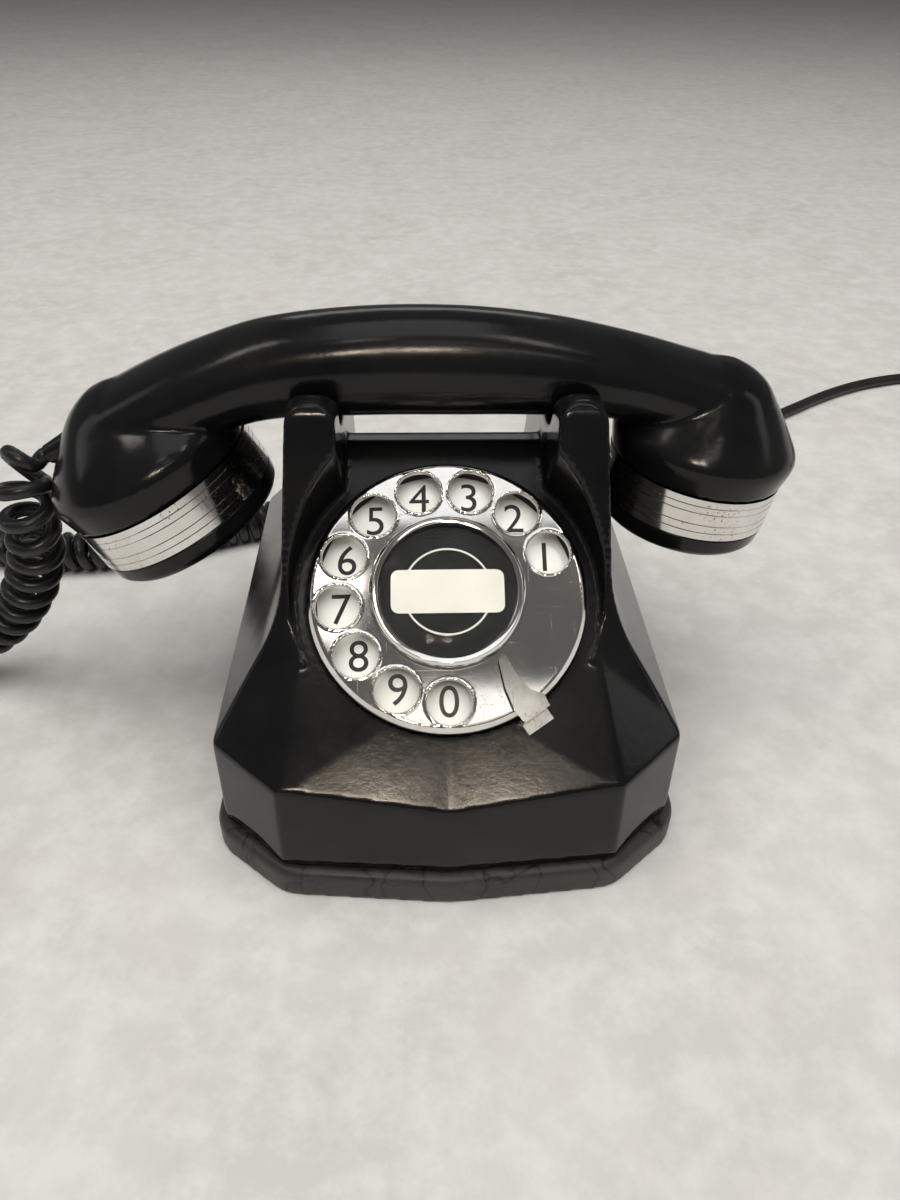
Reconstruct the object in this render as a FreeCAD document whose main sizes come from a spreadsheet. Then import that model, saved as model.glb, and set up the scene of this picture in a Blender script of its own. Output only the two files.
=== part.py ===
"""Rotary desk telephone: moulded case, recessed dial, handset on a four-horned cradle.

Frame: millimetres, +Z up, origin on the surface it stands on, under the middle of the case.
The dial faces -Y and the handset lies along X, its transmitter at -X.
"""
import math
import os

import FreeCAD
import Part
import Sketcher

V = FreeCAD.Vector
doc = FreeCAD.newDocument("telephone")
sheet = doc.addObject("Spreadsheet::Sheet", "Dims")

# ---------------------------------------------------------------- driving dimensions (mm, degrees)
DIMENSIONS = {
    # case: an octagon in plan, a tent in side view, hollow-sided in front view
    "case_half_width": 64.3, "front_half_width": 45.5, "case_half_depth": 81.3,
    "prow_depth": 3.6, "corner_setback": 17.1, "wall_bottom": 12.0, "wall_top": 40.6,
    "wall_thickness": 3.2, "wall_draft": 1.9, "ridge_height": 99.1, "ridge_half": 2.9,
    "flank_corner_height": 67.7, "flank_round": 40.0, "horn_top_half": 41.2,
    "prow_drop": 2.6, "prow_crease": 22.0, "corner_arch": 2.4,
    # cradle horns
    "horn_inner": 28.5, "horn_top": 121.5, "horn_foot": 45.5, "horn_front": 27.3,
    "horn_foot_height": 64.1, "horn_foot_round": 30.0, "saddle_height": 106.4,
    "saddle_half": 15.6, "saddle_round": 11.0, "horn_tip_inner": 19.2,
    "horn_top_round": 5.6,
    # base
    "rim_height": 9.8, "rim_overhang": 2.4, "rim_width": 10.0, "rim_corner": 14.0, "rim_shoulder": 2.6,
    "plate_bottom": 8.0,
    "plate_thickness": 1.5, "lip_inset": 5.0, "lip_thickness": 1.3, "lip_height": 16.0,
    "post_x": 52.0, "post_y": 44.0, "post_radius": 4.2, "post_top": 36.0,
    # dial
    "dial_tilt": 37.0, "dial_y": -40.1, "dial_hole": 37.4, "wheel_radius": 38.1,
    "wheel_top": 5.0, "wheel_thickness": 1.2, "wheel_edge": 2.4, "hole_circle": 29.8,
    "hole_radius": 5.9, "lip_radius": 6.7, "lip_rise": 0.6, "hole_step": 27.6, "hole_first": 21.6,
    "plate_radius": 35.6, "plate_bore": 6.5, "hub_radius": 21.3, "hub_rise": 3.4,
    "card_radius": 18.4, "cup_radius": 36.4, "cup_depth": 27.0, "shaft_radius": 3.0,
    "horn_dial_gap": 42.6, "stop_angle": -56.6,
    # handset
    "transmitter_x": -83.5, "transmitter_z": 88.0, "transmitter_tilt": 27.0,
    "transmitter_radius": 29.1, "receiver_x": 74.9, "receiver_z": 91.6, "receiver_tilt": 9.1,
    "receiver_radius": 25.6, "band_height": 12.5, "band_groove": 0.35,
    # switch, ringer, cords
    "plunger_x": 35.4, "plunger_radius": 2.6, "plunger_bottom": 82.0,
    "lever_pivot_y": 14.0, "lever_pivot_z": 79.0, "gong_x": 26.0, "gong_y": 45.0, "gong_radius": 20.5,
    "gong_bottom": 33.0, "coil_cord_diameter": 16.0, "strand_diameter": 4.6,
    "line_diameter": 5.6, "outlet_x": 36.0, "outlet_z": 18.0,
}
for row, (alias, value) in enumerate(DIMENSIONS.items(), 1):
    sheet.set("A%d" % row, alias)
    sheet.set("B%d" % row, str(value))
    sheet.setAlias("B%d" % row, alias)
doc.recompute()


def size(alias):
    """A driving dimension, read from the sheet."""
    return float(sheet.get(alias))


PARTS = {}


def node(name, shape_object):
    """Give a finished object its node name; it is written to parts/ under that name."""
    shape_object.Label = name
    PARTS[name] = shape_object
    return shape_object


# ---------------------------------------------------------------- small builders
def bind(item, **expressions):
    for prop, text in expressions.items():
        item.setExpression(prop, str(text))
    return item


def turn(axis, degrees, at=(0, 0, 0)):
    return FreeCAD.Placement(V(*at), FreeCAD.Rotation(V(*axis), degrees))


def move(*at):
    return FreeCAD.Placement(V(*at), FreeCAD.Rotation())


def cylinder(name, radius, height, place=None):
    """Part::Cylinder along its own Z; radius and height are expressions."""
    item = bind(doc.addObject("Part::Cylinder", name), Radius=radius, Height=height)
    item.Placement = place or move(0, 0, 0)
    return item


def block(name, length, width, height, centre, place=None):
    """Part::Box whose centre is at the point centre of the placement."""
    item = bind(doc.addObject("Part::Box", name), Length=length, Width=width, Height=height)
    doc.recompute([item])
    corner = V(*centre) - V(item.Length.Value, item.Width.Value, item.Height.Value) * 0.5
    item.Placement = (place or move(0, 0, 0)).multiply(FreeCAD.Placement(corner, FreeCAD.Rotation()))
    return item


def fuse(name, items):
    item = doc.addObject("Part::MultiFuse", name)
    item.Shapes = items
    return item


def common(name, items):
    item = doc.addObject("Part::MultiCommon", name)
    item.Shapes = items
    return item


def cut(name, base, tools):
    item = doc.addObject("Part::Cut", name)
    item.Base = base
    item.Tool = tools[0] if len(tools) == 1 else fuse(name + "_tools", tools)
    return item


def solid(name, shape, place=None):
    """Part::Feature whose shape comes from Part's own functions."""
    item = doc.addObject("Part::Feature", name)
    item.Shape = shape
    if place:
        item.Placement = place
    return item


def outline(body, role, points):
    """A closed sketch on one of the body's origin planes; each point is a pair of expressions."""
    sketch = body.newObject("Sketcher::SketchObject", body.Name + "_sketch")
    plane = [f for f in body.Origin.OriginFeatures if f.Role == role][0]
    sketch.AttachmentSupport = [(plane, "")]
    sketch.MapMode = "FlatFace"
    values = []
    for u, v in points:
        values.append(V(evaluate(u), evaluate(v), 0))
    for i, start in enumerate(values):
        sketch.addGeometry(Part.LineSegment(start, values[(i + 1) % len(values)]), False)
    count = len(values)
    for i in range(count):
        sketch.addConstraint(Sketcher.Constraint("Coincident", i, 2, (i + 1) % count, 1))
    for i, (pair, at) in enumerate(zip(points, values)):
        for kind, text, value, axis in (("DistanceX", pair[0], at.x, -2), ("DistanceY", pair[1], at.y, -1)):
            if abs(value) < 1e-9:
                sketch.addConstraint(Sketcher.Constraint("PointOnObject", i, 1, axis))
                continue
            index = sketch.addConstraint(Sketcher.Constraint(kind, -1, 1, i, 1, value))
            if isinstance(text, str):
                sketch.setExpression("Constraints[%d]" % index, text)
    return sketch


def evaluate(text):
    """The value of a number or of an expression on the sheet."""
    if not isinstance(text, str):
        return float(text)
    result = sheet.evalExpression(text)
    return float(getattr(result, "Value", result))


def turned(name, points, place=None):
    """A body of revolution about its own Z; points are (radius, height) pairs."""
    body = doc.addObject("PartDesign::Body", name)
    sketch = outline(body, "XZ_Plane", points)
    feature = body.newObject("PartDesign::Revolution", name + "_turned")
    feature.Profile = sketch
    feature.ReferenceAxis = (sketch, ["V_Axis"])
    feature.Angle = 360
    body.Tip = feature
    body.Placement = place or move(0, 0, 0)
    return body


def padded(name, role, points, depth, place=None, both=False):
    """A prism: the outline on an origin plane, padded by the depth expression."""
    body = doc.addObject("PartDesign::Body", name)
    sketch = outline(body, role, points)
    feature = body.newObject("PartDesign::Pad", name + "_pad")
    feature.Profile = sketch
    feature.setExpression("Length", str(depth))
    feature.Midplane = both
    body.Tip = feature
    body.Placement = place or move(0, 0, 0)
    return body


def copies(name, source, places):
    """The same solid at several placements, as one group."""
    doc.recompute()
    shapes = []
    for place in places:
        shape = source.Shape.copy()
        shape.Placement = place.multiply(source.Shape.Placement)
        shapes.append(shape)
    return solid(name, Part.makeCompound(shapes))


# ---------------------------------------------------------------- case
CASE = {  # the same form twice: outside, and smaller by the wall thickness for the hollow
    "outer": "0", "inner": "Dims.wall_thickness",
}
SLOPE = "tan(%s deg)" % DIMENSIONS["dial_tilt"]
LEAN = "(Dims.front_half_width - Dims.horn_top_half) / (Dims.horn_top - Dims.flank_corner_height)"


def octagon(inset, extra="0"):
    """Plan of the case as (x, y) expressions, moved inwards by inset and outwards by extra."""
    off = "(%s) - (%s)" % (extra, inset)
    half = "Dims.case_half_width + " + off
    side = "Dims.case_half_depth - Dims.corner_setback + (%s) * 0.4" % off
    front_x = "Dims.front_half_width + (%s) * 0.45" % off
    front_y = "Dims.case_half_depth + " + off
    prow = "Dims.case_half_depth + Dims.prow_depth + " + off
    corner = [(half, side), (front_x, front_y), ("0", prow)]
    ring = []
    ring += [(x, y) for x, y in corner]
    ring += [("-(%s)" % x, y) for x, y in reversed(corner[:2])]
    ring += [("-(%s)" % x, "-(%s)" % y) for x, y in corner]
    ring += [(x, "-(%s)" % y) for x, y in reversed(corner[:2])]
    return ring


def case_form(kind):
    """The tent-shaped body of the case, without horns: three prisms in common, less the bevels."""
    inset = CASE[kind]
    up = "(%s)" % inset
    half = "(Dims.case_half_width - %s)" % up
    top_half = "(Dims.front_half_width - %s)" % up
    lean_half = "(%s - (130 - Dims.flank_corner_height) * %s)" % (top_half, LEAN)
    front = [("-" + half, "Dims.wall_bottom - 8"), (half, "Dims.wall_bottom - 8"),
             (half, "Dims.wall_top"), (top_half, "Dims.flank_corner_height"),
             (lean_half, "130"), ("-" + lean_half, "130"),
             ("-" + top_half, "Dims.flank_corner_height"), ("-" + half, "Dims.wall_top")]
    front_view = padded("case_front_" + kind, "XZ_Plane", front, "240", both=True)
    rise = "%s / cos(%s deg)" % (up, DIMENSIONS["dial_tilt"])
    reach = "(Dims.case_half_depth + 8)"
    low = "(Dims.ridge_height - (%s - Dims.ridge_half) * %s - %s)" % (reach, SLOPE, rise)
    crest = "(Dims.ridge_height - %s)" % rise
    side = [("-" + reach, "Dims.wall_bottom - 8"), (reach, "Dims.wall_bottom - 8"), (reach, low),
            ("Dims.ridge_half", crest), ("-Dims.ridge_half", crest), ("-" + reach, low)]
    side_view = padded("case_side_" + kind, "YZ_Plane", side, "200", both=True)
    plan_body = padded("case_plan_" + kind, "XY_Plane", octagon(inset, "0.9"), "130",
                       move(0, 0, size("wall_bottom") - (0 if kind == "outer" else 4)))
    plan_body.Tip.TaperAngle = -size("wall_draft")
    doc.recompute()
    front_view = flank_rounded("case_front_%s_rounded" % kind, front_view,
                               size("flank_round") + (0 if kind == "outer" else 3))
    form = common("case_form_" + kind, [front_view, side_view, plan_body])
    doc.recompute()
    return form


def flank_rounded(name, form, radius):
    """Round the hollow corner of both flanks, where the sloping side turns upright."""
    item = doc.addObject("Part::Fillet", name)
    item.Base = form
    picked = []
    for i, edge in enumerate(form.Shape.Edges, 1):
        box = edge.BoundBox
        level = abs(box.ZMin - size("flank_corner_height")) < 0.5 and box.ZLength < 0.5
        if level and box.YLength > 20 and box.XLength < 0.5:
            picked.append((i, radius, radius))
    item.Edges = picked
    return item


def bevel_planes(inset):
    """Cutters above the four sloping corner facets, each through three points of the case."""
    a_point, normal = bevel_frame()
    face = Part.makePlane(300, 300, V(-150, -150, 0))
    slab = face.extrude(V(0, 0, 90))
    slab.Placement = FreeCAD.Placement(a_point - normal * inset, FreeCAD.Rotation(V(0, 0, 1), normal))
    cutters = []
    for sx, sy in ((1, 1), (-1, 1), (1, -1), (-1, -1)):
        piece = slab.copy()
        if sx < 0:
            piece = piece.mirror(V(0, 0, 0), V(1, 0, 0))
        if sy < 0:
            piece = piece.mirror(V(0, 0, 0), V(0, 1, 0))
        # each cutter works only over its own corner
        corner = Part.makeBox(120, 120, 200, V(0 if sx > 0 else -120, -120 if sy > 0 else 0, 0))
        cutters.append(piece.common(corner))
    return cutters


def prow_planes():
    """Cutters for the shallow crease that runs up from the prow at the front and the back."""
    b, d = size("front_half_width"), size("case_half_depth")
    tip = V(0, -d - size("prow_depth"), size("wall_top") - 0.6 - size("prow_drop") * 2)
    corner = V(b - 4.0, -d, size("wall_top") - 0.6)
    slope = math.tan(math.radians(size("dial_tilt")))
    above = V(0, -d + size("prow_crease"), size("wall_top") - 0.6 + size("prow_crease") * slope)
    normal = (corner - tip).cross(above - tip)
    normal.normalize()
    if normal.z < 0:
        normal = normal * -1
    slab = Part.makePlane(200, 200, V(-100, -100, 0)).extrude(V(0, 0, 40))
    slab.Placement = FreeCAD.Placement(tip, FreeCAD.Rotation(V(0, 0, 1), normal))
    half = slab.common(Part.makeBox(b, d, 120, V(0, -2 * d + size("prow_crease") * 1.3, 0)))
    cutters = []
    for sx in (1, -1):
        for sy in (1, -1):
            piece = half if sx > 0 else half.mirror(V(0, 0, 0), V(1, 0, 0))
            cutters.append(piece if sy > 0 else piece.mirror(V(0, 0, 0), V(0, 1, 0)))
    return cutters


def horn_pair():
    """The right pair of horns with the saddle between them, front view and side view in common."""
    lean = math.atan2(size("flank_corner_height") - size("wall_top"),
                      size("case_half_width") - size("front_half_width"))
    x_at_50 = size("case_half_width") - (50 - size("wall_top")) / math.tan(lean)
    line = [V(size("horn_inner"), 0, 50), V(x_at_50, 0, 50)]
    corner = V(size("front_half_width"), 0, size("flank_corner_height"))
    tops = [V(size("horn_top_half"), 0, size("horn_top")), V(size("horn_inner"), 0, size("horn_top"))]
    front_wire = Part.makePolygon(line + [corner] + tops + [line[0]])
    front = Part.Face(front_wire).extrude(V(0, 140, 0))
    front.translate(V(0, -70, 0))
    front = fillet_where(front, size("flank_round"), lambda e: near(e, x=corner.x, z=corner.z))
    front = fillet_where(front, size("horn_top_round"), lambda e: e.CenterOfMass.z > size("horn_top") - 0.2
                         and e.BoundBox.YLength > 100)
    foot, tip = horn_front_line()
    start = foot - (tip - foot) * 0.35
    tip_z = size("horn_top")
    chain = [start, tip, V(0, -size("horn_front") + 2.2, tip_z), V(0, -size("horn_tip_inner"), tip_z),
             V(0, -size("saddle_half"), tip_z - 4.5), V(0, -size("saddle_half") + 1.2, size("saddle_height"))]
    back = [V(0, -p.y, p.z) for p in reversed(chain)]
    wire = Part.makePolygon(chain + back + [start])
    side = Part.Face(wire).extrude(V(80, 0, 0))
    side = fillet_where(side, size("saddle_round"), lambda e: near(e, y=size("saddle_half") - 1.2,
                        z=size("saddle_height"), both=True))
    side = fillet_where(side, 3.0, lambda e: near(e, y=size("horn_tip_inner"), z=tip_z, both=True))
    side = fillet_where(side, 5.0, lambda e: near(e, y=size("horn_front"), z=119.0, both=True))
    return front.common(side)


def horn_front_line():
    """Foot and tip of the steep front face of a horn, in side view."""
    return (V(0, -size("horn_foot"), size("horn_foot_height")), V(0, -size("horn_front"), 119.0))


def bevel_frame():
    """A point and the upward normal of the sloping facet at the right front corner."""
    b, d = size("front_half_width"), size("case_half_depth")
    w, c = size("case_half_width"), size("corner_setback")
    a_point = V(b, -d, size("wall_top") - 0.6)
    b_point = V(w, -d + c, size("wall_top"))
    c_point = a_point + V(-4.1, 27.6, 20.8)
    normal = (b_point - a_point).cross(c_point - a_point)
    normal.normalize()
    if normal.z < 0:
        normal = normal * -1
    return a_point - normal * 0.3, normal


def horn_flare():
    """The hollow sweep between a horn's front face and the corner facet below it."""
    foot, tip = horn_front_line()
    steep = V(0, -(tip.z - foot.z), tip.y - foot.y)
    steep.normalize()
    point, facet = bevel_frame()
    along = steep.cross(facet)
    along.normalize()
    radius = size("horn_foot_round")
    # a point on both planes, at the middle of the horn
    level = 38.0
    rows = FreeCAD.Matrix(1, 0, 0, 0, steep.x, steep.y, steep.z, 0, facet.x, facet.y, facet.z, 0, 0, 0, 0, 1)
    corner = rows.inverse().multVec(V(level, steep.dot(foot), facet.dot(point)))
    half_turn = steep.getAngle(facet) / 2
    middle = steep + facet
    middle.normalize()
    centre = corner + middle * (radius / math.cos(half_turn))
    touch_steep = centre - steep * radius
    touch_facet = centre - facet * radius
    under = corner - middle * 6
    wedge = Part.Face(Part.makePolygon([under, touch_steep, touch_facet, under]))
    wedge.translate(along * -40)
    wedge = wedge.extrude(along * 80)
    round_bar = Part.makeCylinder(radius, 90, centre - along * 45, along)
    return wedge.cut(round_bar)


def near(edge, x=None, y=None, z=None, both=False, tol=0.3):
    """True for a straight edge whose middle has these coordinates (y on either side with both)."""
    at = edge.CenterOfMass
    ok = x is None or abs(at.x - x) < tol
    ok = ok and (y is None or abs((abs(at.y) if both else at.y) - y) < tol)
    return ok and (z is None or abs(at.z - z) < tol)


def fillet_where(shape, radius, test):
    """Round the edges of a shape that pass the test."""
    edges = [edge for edge in shape.Edges if test(edge)]
    return shape.makeFillet(radius, edges) if edges else shape


dial_z = size("wall_top") - 0.6 + (size("dial_y") + size("case_half_depth")) \
    * math.tan(math.radians(size("dial_tilt")))
DIAL = turn((1, 0, 0), size("dial_tilt"), (0, size("dial_y"), dial_z))


def dial_frame(x=0.0, y=0.0, z=0.0, spin=0.0):
    """Placement in the dial's frame, turned about the dial's axis first."""
    return DIAL.multiply(turn((0, 0, 1), spin)).multiply(move(x, y, z))


outer_form = case_form("outer")
inner_form = case_form("inner")
doc.recompute()
horn_shape = horn_pair()
case_shape = outer_form.Shape.cut(bevel_planes(0)).cut(prow_planes())
flank_limit = doc.getObject("case_front_outer_rounded")
flare = horn_flare().common(flank_limit.Shape)
flare = flare.common(Part.makeBox(80, 200, 200, V(size("horn_inner"), -100, 0)))
flares = [flare, flare.mirror(V(0, 0, 0), V(0, 1, 0))]
horn_shape = horn_shape.fuse(flares)
horns = [horn_shape, horn_shape.mirror(V(0, 0, 0), V(1, 0, 0))]
dial_clear = Part.makeCylinder(size("horn_dial_gap"), 60)
dial_clear.Placement = DIAL
horns = [horn.cut(dial_clear) for horn in horns]
case_shape = case_shape.fuse(horns)
hollow = inner_form.Shape.cut(bevel_planes(size("wall_thickness")))

def grown_octagon(offset, low, high):
    """A prism over the plan of the case, moved out by offset, between two heights."""
    ring = [V(evaluate(x), evaluate(y), low) for x, y in octagon("0", str(0.9 + offset))]
    return Part.Face(Part.makePolygon(ring + [ring[0]])).extrude(V(0, 0, high - low))


def corner_arches():
    """Shallow arches in the lower edge of the four corner walls."""
    b, d = size("front_half_width"), size("case_half_depth")
    w, c = size("case_half_width"), size("corner_setback")
    middle = V((b + w) / 2, -d + c / 2, 0)
    chord = math.hypot(w - b, c)
    outward = V(c, -(w - b), 0)
    outward.normalize()
    rise = size("corner_arch")
    radius = (chord * chord / 4 * 0.81 + rise * rise) / (2 * rise)
    tool = Part.makeCylinder(radius, 16, middle - outward * 8 + V(0, 0, size("wall_bottom") + rise - radius),
                             outward)
    side = [tool, tool.mirror(V(0, 0, 0), V(1, 0, 0))]
    return side + [shape.mirror(V(0, 0, 0), V(0, 1, 0)) for shape in side]


def screw_posts():
    """Four moulded posts on ribs, which take the screws that hold the base plate."""
    posts = []
    for sx in (1, -1):
        for sy in (1, -1):
            x, y = sx * size("post_x"), sy * size("post_y")
            low, high = size("plate_bottom") + size("plate_thickness"), size("post_top")
            post = Part.makeCylinder(size("post_radius"), high - low, V(x, y, low))
            reach = size("case_half_width") - 1.0 - abs(x)
            rib = Part.makeBox(reach, 3, high - 17.0, V(x if sx > 0 else x - reach, y - 1.5, 17.0))
            bore = Part.makeCylinder(1.7, 18, V(x, y, low - 1))
            posts.append(post.fuse(rib).cut(bore))
    return posts


case_shape = case_shape.cut(hollow).cut(corner_arches()).fuse(screw_posts())
dial_bore = Part.makeCylinder(size("dial_hole"), 30, V(0, 0, -20))
dial_bore.Placement = DIAL
tools = [dial_bore]
for sx in (1, -1):
    tools.append(Part.makeCylinder(size("plunger_radius") + 0.1, 40, V(sx * size("plunger_x"), 0, 75)))
    tools.append(Part.makeCylinder(4.1, 14, V(sx * size("outlet_x"), 76, size("outlet_z")), V(0, 1, 0)))
case_shape = case_shape.cut(tools).removeSplitter()
node("housing", solid("case_shell", case_shape))

# ---------------------------------------------------------------- base: plate, rubber rim, screws
low, thick = size("plate_bottom"), size("plate_thickness")
plate_shape = grown_octagon(-1.6, low, low + thick)
lip = grown_octagon(-size("lip_inset"), low + thick, size("lip_height")).cut(
    grown_octagon(-size("lip_inset") - size("lip_thickness"), low, 30))
for sx in (1, -1):
    outlet = Part.makeCylinder(6.5, 20, V(sx * size("outlet_x"), 70, size("outlet_z")), V(0, 1, 0))
    lip = lip.cut(outlet)
POSTS = [(sx * size("post_x"), sy * size("post_y")) for sx in (1, -1) for sy in (1, -1)]
for x, y in POSTS:
    lip = lip.cut(Part.makeCylinder(size("post_radius") + 0.4, 20, V(x, y, low + thick)))
plate_shape = plate_shape.fuse(lip)
for x, y in POSTS:
    plate_shape = plate_shape.cut(Part.makeCylinder(1.9, 10, V(x, y, low - 4)))
node("base_plate", solid("base_tray", plate_shape))

rim_core = grown_octagon(size("rim_overhang") - size("rim_corner"), 0, 1)
rim_plan = max(rim_core.Faces, key=lambda face: face.CenterOfMass.z)
rim_shape = rim_plan.makeOffset2D(size("rim_corner"), 0).extrude(V(0, 0, size("rim_height")))
rim_shape.translate(V(0, 0, -1))
shoulder = [edge for edge in rim_shape.Edges
            if min(v.Z for v in edge.Vertexes) > size("rim_height") - 0.1]
rim_shape = rim_shape.makeFillet(size("rim_shoulder"), shoulder)
rim_shape = rim_shape.cut(grown_octagon(size("rim_overhang") - size("rim_width"), -1, 20))
rim_shape = rim_shape.cut(grown_octagon(-1.5, low, 20))
node("base_rim", solid("rubber_rim", rim_shape))

head = cylinder("screw_head", 3.1, 1.7, move(0, 0, low - 1.75))
shank = cylinder("screw_shank", 1.6, 15, move(0, 0, low - 0.1))
slot = block("screw_slot", 7, 0.8, 0.8, (0, 0, low - 1.6))
screw = cut("screw", fuse("screw_blank", [head, shank]), [slot])
doc.recompute()
node("base_screws", copies("base_screw_set", screw, [move(x, y, 0) for x, y in POSTS]))

# ---------------------------------------------------------------- dial, from the inside out
wall = size("wall_thickness")
cup = [("0", "-Dims.cup_depth"), ("Dims.cup_radius", "-Dims.cup_depth"), ("Dims.cup_radius", -6.2),
       ("Dims.dial_hole + 1.2", -6.2), ("Dims.dial_hole + 1.2", "-Dims.wall_thickness - 0.05"),
       ("Dims.cup_radius - 1.2", "-Dims.wall_thickness - 0.05"),
       ("Dims.cup_radius - 1.2", "1.4 - Dims.cup_depth"), (3.3, "1.4 - Dims.cup_depth"),
       (3.3, "-Dims.cup_depth + 0.2"), ("0", "-Dims.cup_depth + 0.2")]
node("dial_case", turned("dial_cup", cup, DIAL))

plate = [("Dims.plate_bore", -3.1), ("Dims.cup_radius - 0.3", -3.1), ("Dims.cup_radius - 0.3", -1.1),
         ("Dims.plate_radius", -1.1), ("Dims.plate_radius", -0.4), ("Dims.plate_radius - 10", 0.3),
         ("Dims.plate_bore", 0.5)]
node("number_plate", turned("number_disc", plate, DIAL))
ring = [("Dims.plate_radius + 0.1", -0.9), ("Dims.dial_hole - 0.1", -0.9), ("Dims.dial_hole - 0.1", 0.9),
        ("Dims.plate_radius + 0.9", 0.9), ("Dims.plate_radius + 0.1", -0.1)]
node("number_ring", turned("number_plate_ring", ring, DIAL))


def finger_wheel():
    """Pressed wheel: flat web, turned-down edge, ten finger holes with rolled lips."""
    top, thin = size("wheel_top"), size("wheel_thickness")
    radius, edge = size("wheel_radius"), size("wheel_edge")
    profile = [V(3.05, 0, top - thin), V(radius - 3.2, 0, top - thin), V(radius - 2.2, 0, edge + 0.4),
               V(radius - 0.8, 0, edge - 0.2), V(radius, 0, edge + 0.5), V(radius - 0.3, 0, top - 1.5),
               V(radius - 1.6, 0, top), V(3.05, 0, top), V(3.05, 0, top - thin)]
    wheel = Part.Face(Part.makePolygon(profile)).revolve(V(0, 0, 0), V(0, 0, 1), 360)
    for i in range(10):
        angle = math.radians(size("hole_first") + i * size("hole_step"))
        at = V(math.cos(angle), math.sin(angle), 0) * size("hole_circle")
        lip_ring = Part.makeCone(size("lip_radius"), size("lip_radius") - 0.5, size("lip_rise") + thin,
                                 at + V(0, 0, top - thin))
        wheel = wheel.fuse(lip_ring)
        bore = Part.makeCylinder(size("hole_radius"), 8, at)
        flare_out = Part.makeCone(size("hole_radius"), size("hole_radius") + 0.5, 1.2,
                                  at + V(0, 0, top + size("lip_rise") - 1.0))
        wheel = wheel.cut([bore, flare_out])
    return wheel


node("finger_wheel", solid("wheel", finger_wheel(), DIAL))
hub = [("Dims.card_radius", "Dims.wheel_top"), ("Dims.hub_radius", "Dims.wheel_top"),
       ("Dims.hub_radius - 0.3", "Dims.wheel_top + Dims.hub_rise - 1.2"),
       ("Dims.hub_radius - 1.3", "Dims.wheel_top + Dims.hub_rise"),
       ("Dims.card_radius + 0.3", "Dims.wheel_top + Dims.hub_rise - 0.3"),
       ("Dims.card_radius", "Dims.wheel_top + 2.0")]
node("hub_ring", turned("hub_retaining_ring", hub, DIAL))
node("dial_card", cylinder("card", "Dims.card_radius - 0.1", 0.4, dial_frame(z=size("wheel_top") + 0.1)))
lens_top, lens_edge = size("wheel_top") + size("hub_rise") + 0.9, size("wheel_top") + 1.0
lens_r = size("card_radius") - 0.15
lens_rise = lens_top - lens_edge - 1.0
lens_ball = (lens_r ** 2 + lens_rise ** 2) / (2 * lens_rise)
lens = Part.makeCylinder(lens_r, lens_top - lens_edge, V(0, 0, lens_edge))
lens = lens.common(Part.makeSphere(lens_ball, V(0, 0, lens_top - lens_ball)))
node("card_window", solid("window", lens, DIAL))
shaft = [("0", "1.6 - Dims.cup_depth"), ("Dims.shaft_radius", "1.6 - Dims.cup_depth"),
         ("Dims.shaft_radius", "Dims.wheel_top - 0.1"), ("0", "Dims.wheel_top - 0.1")]
node("main_shaft", turned("dial_shaft", shaft, DIAL))


def gear(teeth, module, bore, width, phase=0.0):
    """Spur gear with straight-flanked teeth, its lower face at z = 0, turned by part of a tooth."""
    pitch = teeth * module / 2
    ring_points = []
    for i in range(teeth):
        for share, reach in ((-0.27, -1.15), (-0.10, 0.9), (0.10, 0.9), (0.27, -1.15)):
            angle = 2 * math.pi * (i + share + phase) / teeth
            radius = pitch + reach * module
            ring_points.append(V(radius * math.cos(angle), radius * math.sin(angle), 0))
    face = Part.Face(Part.makePolygon(ring_points + [ring_points[0]]))
    return face.extrude(V(0, 0, width)).cut(Part.makeCylinder(bore, width))


MODULE = 0.6
node("main_gear", solid("dial_main_gear", gear(72, MODULE, size("shaft_radius"), 1.6),
                        dial_frame(z=-14.0)))
spring_turns = [cut("spring_turn_%d" % i, cylinder("spring_out_%d" % i, 4.6 + i * 1.5, 4, dial_frame(z=-21)),
                    [cylinder("spring_in_%d" % i, 4.0 + i * 1.5, 4, dial_frame(z=-21))]) for i in range(4)]
doc.recompute()
node("return_spring", copies("spiral_return_spring", fuse("spring_turns", spring_turns), [move(0, 0, 0)]))

pinion_x = (72 + 12) * MODULE / 2 + 0.4
pinion = gear(12, MODULE, 0.5, 3.0, phase=0.5).fuse(Part.makeCylinder(1.2, 13.0, V(0, 0, -8)))
cam = Part.makeCylinder(4.2, 1.4, V(0, 0, -5.5)).cut(
    [Part.makeBox(4, 10, 4, V(2.9, -5, -7)), Part.makeBox(4, 10, 4, V(-6.9, -5, -7))])
node("impulse_pinion", solid("pinion_and_cam", pinion.fuse(cam), dial_frame(x=pinion_x, z=-14.6)))
bridge = Part.makeBox(7, 14, 2.9, V(-3.5, -7, -10.95)).cut(Part.makeCylinder(1.25, 6, V(0, 0, -9.7)))
node("pinion_bridge", solid("pinion_bearing", bridge, dial_frame(x=pinion_x, z=-14.6)))

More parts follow.
